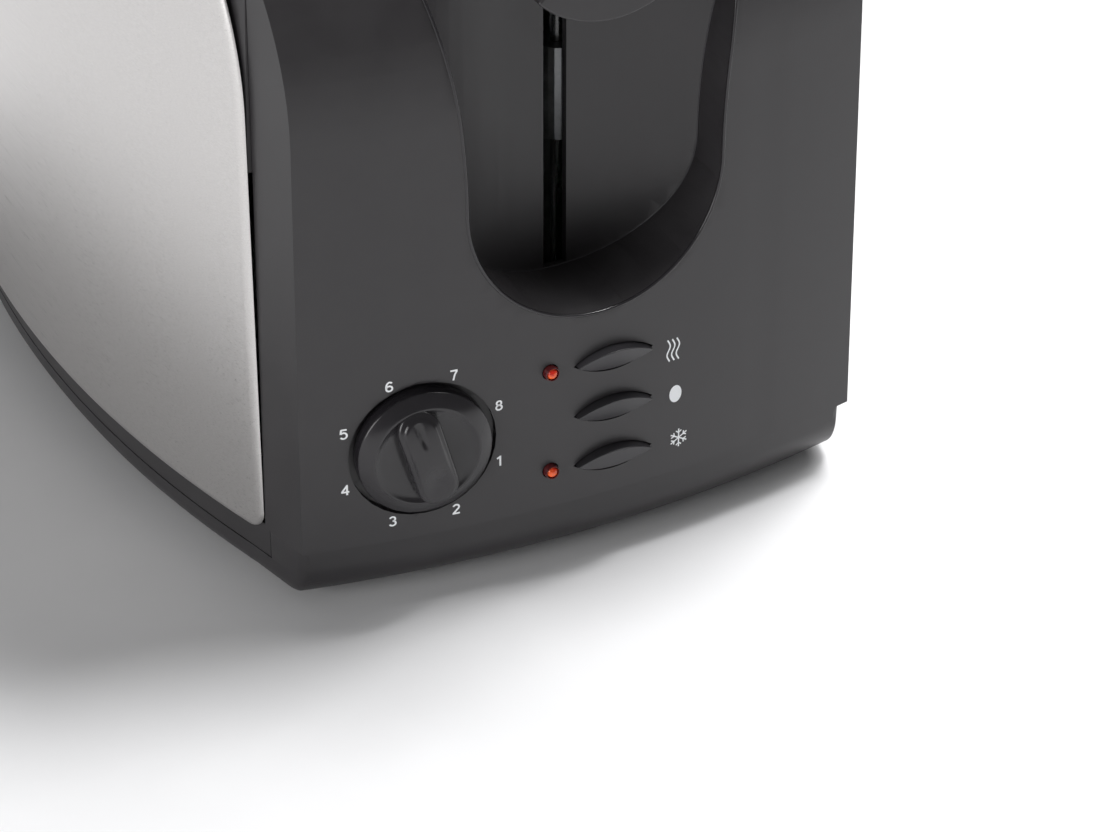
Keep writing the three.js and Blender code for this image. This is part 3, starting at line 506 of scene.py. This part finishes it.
def fine_mesh(node, cuts=((), (), ()), snaps=(), corner_radius=0):
    """A CAD node's shape, cut finer and moved onto its true curves."""
    mesh = NODES[node].data.copy()
    work = bmesh.new()
    work.from_mesh(mesh)
    bmesh.ops.remove_doubles(work, verts=work.verts, dist=0.00002)
    bmesh.ops.dissolve_limit(
        work, angle_limit=math.radians(0.5), verts=work.verts, edges=work.edges
    )
    for axis, places in enumerate(cuts):
        cut_up(work, axis, places)
    work.normal_update()
    for snap in snaps:
        moves = {}
        for face in work.faces:
            for vert in face.verts:
                found = snap(vert.co / MM, face.normal)
                if found:
                    moves[vert] = found * MM
        for vert, place in moves.items():
            vert.co = place
    bmesh.ops.dissolve_degenerate(work, dist=0.00001, edges=work.edges)
    if corner_radius:
        work.normal_update()
        round_corners(work, corner_radius)
    work.to_mesh(mesh)
    work.free()
    return mesh


def from_node(node, name, material, body, bevel=0.4, segments=3, angle=32,
              cuts=((), (), ()), snaps=(), corner_radius=0):
    """A piece on a CAD node's own shape, with true curves and rounded edges."""
    piece = new_piece(name, fine_mesh(node, cuts, snaps, corner_radius), material)
    if bevel:
        rounded(piece, bevel, segments, angle)
    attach(piece, body)
    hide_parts(node)
    return piece


def revolved(profile, sides=96):
    """A mesh turned about Y from [radius, distance] points in millimetres."""
    work = bmesh.new()
    rings = []
    for radius, along in profile:
        if radius < 1e-6:
            rings.append([work.verts.new((0, along * MM, 0))])
            continue
        ring = []
        for i in range(sides):
            turn = 2 * math.pi * i / sides
            ring.append(
                work.verts.new(
                    (radius * math.cos(turn) * MM, along * MM, radius * math.sin(turn) * MM)
                )
            )
        rings.append(ring)
    for here, there in zip(rings, rings[1:]):
        for i in range(sides):
            j = (i + 1) % sides
            near = [here[i % len(here)], here[j % len(here)]]
            far = [there[j % len(there)], there[i % len(there)]]
            unique = list(dict.fromkeys(near + far))
            if len(unique) > 2:
                work.faces.new(unique)
    bmesh.ops.recalc_face_normals(work, faces=work.faces)
    return mesh_of(work, "revolved")


# ---- Casing ----
FRONT_CAP_SNAPS = [shoulder_snap(band_half_width), snap_end_face, snap_recess]
REAR_CAP_SNAPS = [shoulder_snap(band_half_width), turned(snap_end_face)]
COVER_SNAPS = [shoulder_snap(cover_half_width), snap_cover_side, snap_end_face, turned(snap_end_face)]
ACROSS = every(-76, 76, 4)
UPWARD = every(24, 189, 3)
from_node("front_cap", "front_cap_moulding", "satin", "housing", 0.3,
          cuts=(ACROSS, (), UPWARD), snaps=FRONT_CAP_SNAPS)
from_node("rear_cap", "rear_cap_moulding", "satin", "housing", 0.3,
          cuts=(ACROSS, (), UPWARD), snaps=REAR_CAP_SNAPS)
ALONG = every(-108, 108, 6)
from_node("top_cover", "top_cover_moulding", "satin", "housing", 0.5,
          cuts=(every(-95, 95, 2), ALONG, every(179, 189, 1)),
          snaps=COVER_SNAPS)
from_node("base", "base_moulding", "satin", "housing", 0.6,
          cuts=(ACROSS, ALONG, every(3, 13, 1)),
          snaps=[snap_base_end, snap_base_side], corner_radius=2.4)
for side in ("left", "right"):
    from_node(f"{side}_side_rail", f"{side}_rail_moulding", "satin", "housing",
              0.2, cuts=((), ALONG, ()), snaps=[snap_base_side])


# ---- Lip and crease of the recess ----
def bead(name, points, radius, material):
    """A thin round bead along points that lie roughly in an upright plane."""
    work = bmesh.new()
    rings = []
    for i, point in enumerate(points):
        along = (points[min(i + 1, len(points) - 1)] - points[max(i - 1, 0)]).normalized()
        across = along.cross(Vector((0, 1, 0))).normalized()
        out = across.cross(along)
        ring = []
        for j in range(8):
            turn = math.radians(45 * j)
            off = (across * math.cos(turn) + out * math.sin(turn)) * radius
            ring.append(work.verts.new((point + off) * MM))
        rings.append(ring)
    join_rings(work, rings)
    work.faces.new(rings[0])
    work.faces.new(rings[-1])
    bmesh.ops.recalc_face_normals(work, faces=work.faces)
    piece = new_piece(name, mesh_of(work, name), material, smooth_angle=60)
    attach(piece, "housing")


def recess_edge(radius, top, depth_at):
    """Points down one wall of the recess, round its half circle and up the other wall."""
    walls = []
    for z in every(RECESS_Z + 2, top, 2):
        walls.append((radius + RECESS_FLARE - math.sqrt(RECESS_FLARE**2 - (z - RECESS_Z) ** 2), z))
    flat = [(-x, z) for x, z in reversed(walls)]
    for i in range(49):
        turn = math.pi * (1 + i / 48)
        flat.append((radius * math.cos(turn), RECESS_Z + radius * math.sin(turn)))
    flat += walls
    return [Vector((x, depth_at(x, z), z)) for x, z in flat]


def recess_back(x, _z):
    return RECESS_BACK_CENTRE + math.sqrt(RECESS_BACK_RADIUS**2 - x**2)


LIP_RADIUS = 0.5
CREASE_RADIUS = 0.22
bead("recess_lip", recess_edge(RECESS_RADIUS + 0.1, 176, lambda x, z: face_y(x, z) + 0.25),
     LIP_RADIUS, "gloss")
bead("recess_crease", recess_edge(RECESS_RADIUS - 0.1, 150, recess_back), CREASE_RADIUS, "button")


# ---- Steel side panels ----
def panel_outline(inset):
    """The panel's edge in (y, z), moved in by an amount: large upper corners, small lower ones."""
    end = SEAM_Y + 0.2
    bottom = SEAM_HEIGHT - 0.7
    top = 178.6
    upper = 100  # radius of the upper corners, centred at the height below
    upper_z = 136
    blend = 12  # radius between an upper corner and the level top
    lower = 5.4  # radius of the lower corners
    turned_by = math.asin((top - blend - upper_z) / (upper - blend))
    blend_y = end - upper + (upper - blend) * math.cos(turned_by)
    half = [
        (end - lower, bottom + lower, lower, -math.pi / 2, 0, 8),
        (end - upper, upper_z, upper, 0, turned_by, 16),
        (blend_y, top - blend, blend, turned_by, math.pi / 2, 8),
    ]
    points = []
    for y, z, radius, start, stop, steps in half:
        for i in range(steps + 1):
            turn = start + (stop - start) * i / steps
            reach = radius - inset
            points.append((y + reach * math.cos(turn), z + reach * math.sin(turn)))
    return points + [(-y, z) for y, z in reversed(points)]


def steel_panel(name, side):
    """A sheet bowed along its length, with its edge rolled in towards the body."""
    roll_width = 2.4
    roll_depth = 1.1
    sheet = 0.5
    rings = []
    for i in range(9):
        turn = math.radians(90 * i / 8)
        rings.append((roll_width * (1 - math.sin(turn)), roll_depth * (1 - math.cos(turn))))
    rings += [(sheet, roll_depth), (roll_width, sheet)]
    work = bmesh.new()
    loops = []
    for inset, inward in rings:
        loop = [work.verts.new((inward * MM, y * MM, z * MM)) for y, z in panel_outline(inset)]
        loops.append(loop)
    join_rings(work, loops)
    work.faces.new(loops[0])
    work.faces.new(loops[-1])
    cut_up(work, 1, every(-108, 108, 4))
    for vert in work.verts:
        inward, y, z = vert.co / MM
        vert.co = Vector((side * (panel_x(y) - inward), y, z)) * MM
    bmesh.ops.recalc_face_normals(work, faces=work.faces)
    piece = new_piece(f"{name}_sheet", mesh_of(work, f"{name}_sheet"), "steel", smooth_angle=50)
    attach(piece, "housing")
    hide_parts(name)


steel_panel("left_side_panel", -1)
steel_panel("right_side_panel", 1)

# ---- Controls ----
from_node("lever_knob", "lever_knob_moulding", "satin", "lever_carriage", 0.7, 4)
for row in ("upper", "middle", "lower"):
    from_node(f"{row}_button", f"{row}_button_moulding", "button", f"{row}_button",
              0.35)
    from_node(f"{row}_switch", f"{row}_switch_body", "dark", "housing", 0.2)


# ---- Browning dial ----
DIAL_GRIP_ANGLE = 105  # which way the grip points at rest
GRIP_HALF = 5.6
GRIP_FOOT = 1.5  # the grip's lowest level, under the dish
GRIP_UPPER_DROOP = 0.5  # how much the grip falls away at its pointer end
GRIP_LOWER_DROOP = 0.2
GRIP_STRAIGHT = 8.4  # from the middle to where each round end begins
GRIP_SIDE_TOP = 5.2  # level where the upright sides end
GRIP_EDGE = 1.1  # radius between the sides and the top


def dial_disc():
    """Dish, lip, conical annulus and rim; distances are from the face, outward negative."""
    dish_radius = 12.9
    dish_level = -2.0
    dish_depth = 1.45
    profile = [[0, dish_level]]
    for i in range(1, 9):
        radius = dish_radius * i / 8
        profile.append([radius, dish_level - dish_depth * (radius / dish_radius) ** 2])
    profile += [[13.25, -3.72], [13.6, -3.8], [14.0, -3.68], [17.0, -2.1], [17.22, -1.9]]
    profile += [[17.3, -1.6], [17.3, 2.2], [0, 2.2]]
    return revolved(profile, 128)


def grip_outline(radius):
    """A rounded bar's outline in (along, across), always with the same number of points."""
    points = []
    for end in (1, -1):
        for i in range(17):
            turn = math.radians(-90 + 180 * i / 16)
            along = end * (GRIP_STRAIGHT + radius * math.cos(turn))
            points.append((along, end * radius * math.sin(turn)))
        for i in range(1, 14):
            along = end * GRIP_STRAIGHT * (1 - 2 * i / 14)
            points.append((along, end * radius))
    return points


def grip_top(along, across):
    """Height of the grip's top: crowned, with a finger scoop and a pointer groove."""
    crest = 7.4
    crown = 0.9
    scoop_depth = 1.7
    groove_depth = 0.75
    height = crest - crown * (across / GRIP_HALF) ** 2
    height -= scoop_depth * math.exp(-(((along + 7.5) / 4.2) ** 2) - (across / 3.4) ** 2)
    groove = max(0, 1 - (across / 0.95) ** 2) * max(0, 1 - ((along - 8.2) / 3.6) ** 4)
    return height - groove_depth * groove


def dial_grip():
    work = bmesh.new()
    half = GRIP_HALF - 0.15  # half width where the upright sides end
    levels = [(GRIP_HALF, GRIP_FOOT), (half, GRIP_SIDE_TOP)]
    for i in range(1, 6):
        turn = math.radians(18 * i)
        width = half - GRIP_EDGE * (1 - math.cos(turn))
        levels.append((width, GRIP_SIDE_TOP + GRIP_EDGE * math.sin(turn)))
    rings = []
    for radius, height in levels:
        ring = []
        for along, across in grip_outline(radius):
            ring.append(work.verts.new((along * MM, -height * MM, across * MM)))
        rings.append(ring)
    inner = levels[-1][0]
    for i in range(1, 15):
        radius = inner * (1 - i / 14)
        ring = []
        for along, across in grip_outline(radius):
            height = min(grip_top(along, across), levels[-1][1] + GRIP_EDGE * i / 3)
            ring.append(work.verts.new((along * MM, -height * MM, across * MM)))
        rings.append(ring)
    join_rings(work, rings)
    work.faces.new(rings[0])
    bmesh.ops.remove_doubles(work, verts=work.verts, dist=1e-7)
    bmesh.ops.dissolve_degenerate(work, dist=1e-7, edges=work.edges)
    for vert in work.verts:
        along = vert.co.x / MM / (GRIP_STRAIGHT + GRIP_HALF)
        droop = GRIP_UPPER_DROOP if along > 0 else GRIP_LOWER_DROOP
        height = -vert.co.y / MM - GRIP_FOOT
        vert.co.y = -(GRIP_FOOT + height * (1 - droop * along**2)) * MM
    bmesh.ops.recalc_face_normals(work, faces=work.faces)
    return mesh_of(work, "dial_grip")


def dial_place():
    yaw = -math.asin(-DIAL_X / FACE_BOW)
    place = Matrix.Translation(Vector((DIAL_X, FRONT + bow(DIAL_X), DIAL_Z)) * MM)
    return place @ Matrix.Rotation(yaw, 4, "Z")


def make_dial():
    disc = dial_disc()
    disc.transform(dial_place())
    piece = new_piece("dial_disc", disc, "gloss", smooth_angle=40)
    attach(piece, "dial")
    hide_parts("browning_dial")
    grip = dial_grip()
    grip.transform(dial_place() @ Matrix.Rotation(-math.radians(DIAL_GRIP_ANGLE), 4, "Y"))
    bar = new_piece("dial_grip", grip, "gloss", smooth_angle=50)
    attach(bar, "dial")


make_dial()


LAMP_RADIUS = 1.55
LAMP_DOME = 1.5  # the dome's depth from its tip to its edge
RING_RADIUS = 1.95
SEAT_RADIUS = 2.9  # the wider part behind the face, which holds the lamp in
SEAT_DEPTH = 1.5


def lamp(node):
    """A small clear dome inside a dark maroon ring, whose colour is painted shade for the lens's
    darker edge.
    """
    low, high = edges(node)
    middle = (low + high) / 2
    tip = low.y
    radius = LAMP_RADIUS
    foot = high.y - SEAT_DEPTH
    dome = [[0, tip - 0.2]]
    for i in range(1, 9):
        turn = math.radians(90 * i / 8)
        dome.append([radius * math.sin(turn), tip - 0.2 + LAMP_DOME * (1 - math.cos(turn))])
    dome += [[radius, foot], [0, foot]]
    ring = [[radius, tip + 0.9], [radius + 0.1, tip + 0.35]]
    ring += [[1.8, tip + 0.3], [RING_RADIUS, tip + 0.7], [RING_RADIUS, foot]]
    ring += [[SEAT_RADIUS, foot], [SEAT_RADIUS, high.y], [0, high.y]]
    # The ring's dark maroon is painted shade for the lens's darker edge; its wider seat behind the
    # face holds the lamp in.
    for part, profile, material in (("dome", dome, "red"), ("ring", ring, "lens_edge_shade")):
        mesh = revolved(profile, 40)
        mesh.transform(Matrix.Translation((middle.x * MM, 0, middle.z * MM)))
        piece = new_piece(f"{node}_{part}", mesh, material)
        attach(piece, "housing")
        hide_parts(node)


lamp("upper_lamp_lens")
lamp("lower_lamp_lens")


# ---- Heater windings ----
def heater_winding(name, rows=16):
    """Flat resistance ribbon wound round a board: level on one face, sloping on the other."""
    low, high = edges(name)
    margin = 7  # bare board above and below the winding
    width = 1.6
    proud = 0.1  # the ribbon's gap from the board
    thick = 0.15
    pitch = (high.z - low.z - 2 * margin) / rows
    work = bmesh.new()
    for row in range(rows):
        start = low.z + margin + row * pitch
        for face_x, outward, slope in ((low.x, -1, 0), (high.x, 1, pitch)):
            corners = []
            for x in (face_x + outward * proud, face_x + outward * (proud + thick)):
                for y, z in ((low.y + 3, start), (high.y - 3, start + slope)):
                    corners += [work.verts.new(Vector((x, y, z + up)) * MM) for up in (0, width)]
            a, b, c, d, e, f, g, h = corners
            flats = ((a, b, d, c), (e, f, h, g))
            rims = ((a, b, f, e), (c, d, h, g), (a, c, g, e), (b, d, h, f))
            for side in flats + rims:
                work.faces.new(side)
    bmesh.ops.recalc_face_normals(work, faces=work.faces)
    piece = new_piece(f"{name}_winding", mesh_of(work, f"{name}_winding"), "wire", smooth_angle=0)
    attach(piece, "housing")


for place in ("left", "centre", "right"):
    heater_winding(f"{place}_heater")

# ---- What keeps its CAD shape: only the finish changes ----
FINISHES = {
    "zinc": ["left_reflector", "right_reflector", "oven_front_plate", "oven_rear_plate", "carriage",
             "left_bread_lifter", "right_bread_lifter", "armature", "crumb_tray",
             "dial_potentiometer", "left_front_screw", "left_rear_screw", "right_front_screw",
             "right_rear_screw"],
    "wire": ["guide_rod", "return_spring", "lever_arm", "left_slot_outer_guard",
             "right_slot_inner_guard", "left_slot_inner_guard", "right_slot_outer_guard"],
    "mica": ["left_heater", "right_heater", "centre_heater"],
    "copper": ["holding_magnet"],
    "board": ["control_board"],
    "dark": ["cord_gland"],
    "rubber": ["left_front_foot", "left_rear_foot", "right_front_foot", "right_rear_foot"],
}
for finish, names in FINISHES.items():
    for name in names:
        for surface in NODES[name].material_slots:
            surface.material = MATERIALS[finish]


# ---- Printed numerals and symbols ----
PRINT_PROUD = 0.06  # the print stands this far off the face


def printed(name, work):
    """A flat drawing in (x, z) millimetres, laid on the bowed end face."""
    for vert in work.verts:
        x, z = vert.co.x, vert.co.z
        vert.co = Vector((x, face_y(x, z) - PRINT_PROUD, z)) * MM
    piece = new_piece(name, mesh_of(work, name), "print", smooth_angle=0)
    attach(piece, "housing")
    return piece


def ribbon(work, points, width):
    """A flat line of even width through (x, z) points."""
    left, right = [], []
    for i, (x, z) in enumerate(points):
        before = points[max(i - 1, 0)]
        after = points[min(i + 1, len(points) - 1)]
        along = Vector((after[0] - before[0], after[1] - before[1])).normalized()
        off = Vector((-along.y, along.x)) * width / 2
        left.append(work.verts.new((x + off.x, 0, z + off.y)))
        right.append(work.verts.new((x - off.x, 0, z - off.y)))
    for i in range(len(points) - 1):
        work.faces.new((left[i], right[i], right[i + 1], left[i + 1]))


def sweep(x, z, across, up, start, stop, steps=18):
    """Points round part of an oval, in degrees."""
    points = []
    for i in range(steps + 1):
        turn = math.radians(start + (stop - start) * i / steps)
        points.append((x + across * math.cos(turn), z + up * math.sin(turn)))
    return points


# Each digit as the strokes that draw it, about its own middle.
DIGIT_STROKES = {
    1: [[(0.2, -1.5), (0.2, 1.5)], [(0.3, 1.32), (-0.65, 0.72)]],
    2: [sweep(0, 0.6, 0.75, 0.68, 165, -35) + [(-0.78, -1.25)], [(-0.98, -1.28), (0.95, -1.28)]],
    3: [sweep(-0.05, 0.66, 0.68, 0.62, 160, -90), sweep(-0.05, -0.6, 0.78, 0.68, 90, -160)],
    4: [[(0.38, -1.5), (0.38, 1.5)], [(0.42, 1.3), (-0.92, -0.55)], [(-1.05, -0.6), (0.95, -0.6)]],
    5: [
        [(0.8, 1.27), (-0.58, 1.27)],
        [(-0.55, 1.4), (-0.75, 0.05)],
        sweep(-0.02, -0.42, 0.82, 0.84, 145, -150),
    ],
    6: [sweep(0, -0.55, 0.76, 0.72, 0, 360, 28), sweep(0.12, -0.2, 0.88, 1.46, 195, 50)],
    7: [[(-0.92, 1.27), (0.92, 1.27)], [(0.78, 1.15), (0.2, 0.1), (-0.2, -1.5)]],
    8: [sweep(0, 0.68, 0.62, 0.58, 0, 360, 26), sweep(0, -0.6, 0.76, 0.66, 0, 360, 28)],
}
NUMERAL_RADIUS = 21.4
STROKE_WIDTH = 0.5


def numeral(number, angle):
    """One digit beside the dial."""
    turn = math.radians(angle)
    x = DIAL_X + NUMERAL_RADIUS * math.cos(turn)
    z = DIAL_Z + NUMERAL_RADIUS * math.sin(turn)
    work = bmesh.new()
    for stroke in DIGIT_STROKES[number]:
        ribbon(work, [(x + a, z + b) for a, b in stroke], STROKE_WIDTH)
    printed(f"dial_numeral_{number}", work)


NUMERAL_STEP = 45  # degrees between one number and the next
for number in range(1, 9):
    numeral(number, NUMERAL_STEP * (0.5 - number))


def steam_symbol(x, z):
    """Three wavy strands side by side."""
    strand_gap = 1.35
    strand_height = 6.4
    waves = 1.25
    work = bmesh.new()
    for strand in (-1, 0, 1):
        points = []
        for i in range(25):
            rise = i / 24 - 0.5
            sway = 0.45 * math.sin(2 * math.pi * rise * waves)
            points.append((x + strand * strand_gap + sway, z + rise * strand_height))
        ribbon(work, points, 0.42)
    printed("steam_symbol", work)


def bread_symbol(x, z):
    """A filled oval."""
    half_width = 1.8
    half_height = 2.5
    work = bmesh.new()
    rim = []
    for i in range(40):
        turn = 2 * math.pi * i / 40
        across = x + half_width * math.cos(turn)
        rim.append(work.verts.new((across, 0, z + half_height * math.sin(turn))))
    work.faces.new(rim)
    printed("bread_symbol", work)


def frost_symbol(x, z):
    """Six arms, each with two twigs."""
    arm_length = 2.7
    twig_root = 1.5  # how far along the arm its twigs begin
    twig_turn = 0.9  # radians between an arm and a twig
    work = bmesh.new()
    for arm in range(6):
        turn = math.radians(60 * arm + 30)
        out = Vector((math.cos(turn), math.sin(turn)))
        tip = out * arm_length
        ribbon(work, [(x, z), (x + tip.x, z + tip.y)], 0.38)
        for bend in (-1, 1):
            twig_angle = turn + bend * twig_turn
            twig = Vector((math.cos(twig_angle), math.sin(twig_angle)))
            root = out * twig_root
            end = root + twig
            ribbon(work, [(x + root.x, z + root.y), (x + end.x, z + end.y)], 0.34)
    printed("frost_symbol", work)


# The symbols stand beside the three buttons, at these (x, z) places on the face.
STEAM_PLACE = (21.1, 57.0)
BREAD_PLACE = (22.0, 43.6)
FROST_PLACE = (23.2, 30.0)
steam_symbol(*STEAM_PLACE)
bread_symbol(*BREAD_PLACE)
frost_symbol(*FROST_PLACE)


# ---- Floor and light ----
FILL_STRENGTH = 0.17  # even light from all round
KEY_DIRECTION = (-0.55, -0.2, -0.8)  # the way the main light travels


def make_floor():
    """A wide level sheet, with nothing standing round the object."""
    reach = 8.0
    work = bmesh.new()
    corners = [(-reach, -reach), (reach, -reach), (reach, reach), (-reach, reach)]
    work.faces.new([work.verts.new((x, y, 0)) for x, y in corners])
    mesh = mesh_of(work, "floor")
    material = new_material("floor_paper", Roughness=0.9)
    paper = object_noise(material, 30)
    colour_by(material, paper, (0.86, 0.86, 0.87), (0.88, 0.88, 0.89))
    mesh.materials.append(material)
    floor = bpy.data.objects.new("floor", mesh)
    bpy.context.scene.collection.objects.link(floor)


def area_light(name, place, target, size, power):
    """A rectangular light at a place, aimed at a target."""
    data = bpy.data.lights.new(name, "AREA")
    data.shape = "RECTANGLE"
    data.size, data.size_y = size
    data.energy = power
    light = bpy.data.objects.new(name, data)
    light.location = place
    aim = Vector(target) - Vector(place)
    light.rotation_euler = aim.to_track_quat("-Z", "Y").to_euler()
    bpy.context.scene.collection.objects.link(light)


def make_world():
    world = bpy.data.worlds.new("studio")
    bpy.context.scene.world = world
    world.use_nodes = True
    background = world.node_tree.nodes["Background"]
    background.inputs["Color"].default_value = (1, 1, 1, 1)
    background.inputs["Strength"].default_value = FILL_STRENGTH


def sun(name, travel, strength, spread):
    data = bpy.data.lights.new(name, "SUN")
    data.energy = strength
    data.angle = math.radians(spread)
    light = bpy.data.objects.new(name, data)
    light.rotation_euler = Vector(travel).to_track_quat("-Z", "Y").to_euler()
    bpy.context.scene.collection.objects.link(light)


make_floor()
make_world()
sun("key", KEY_DIRECTION, strength=1.7, spread=40)
area_light("overhead", (0.45, -0.05, 1.15), target=(0, -0.1, 0.08), size=(0.35, 0.3), power=10)
area_light("left_window", (-1.6, -0.6, 0.5), target=(0, -0.05, 0.1), size=(1.0, 0.8), power=13)
bpy.context.scene.view_settings.view_transform = "Standard"
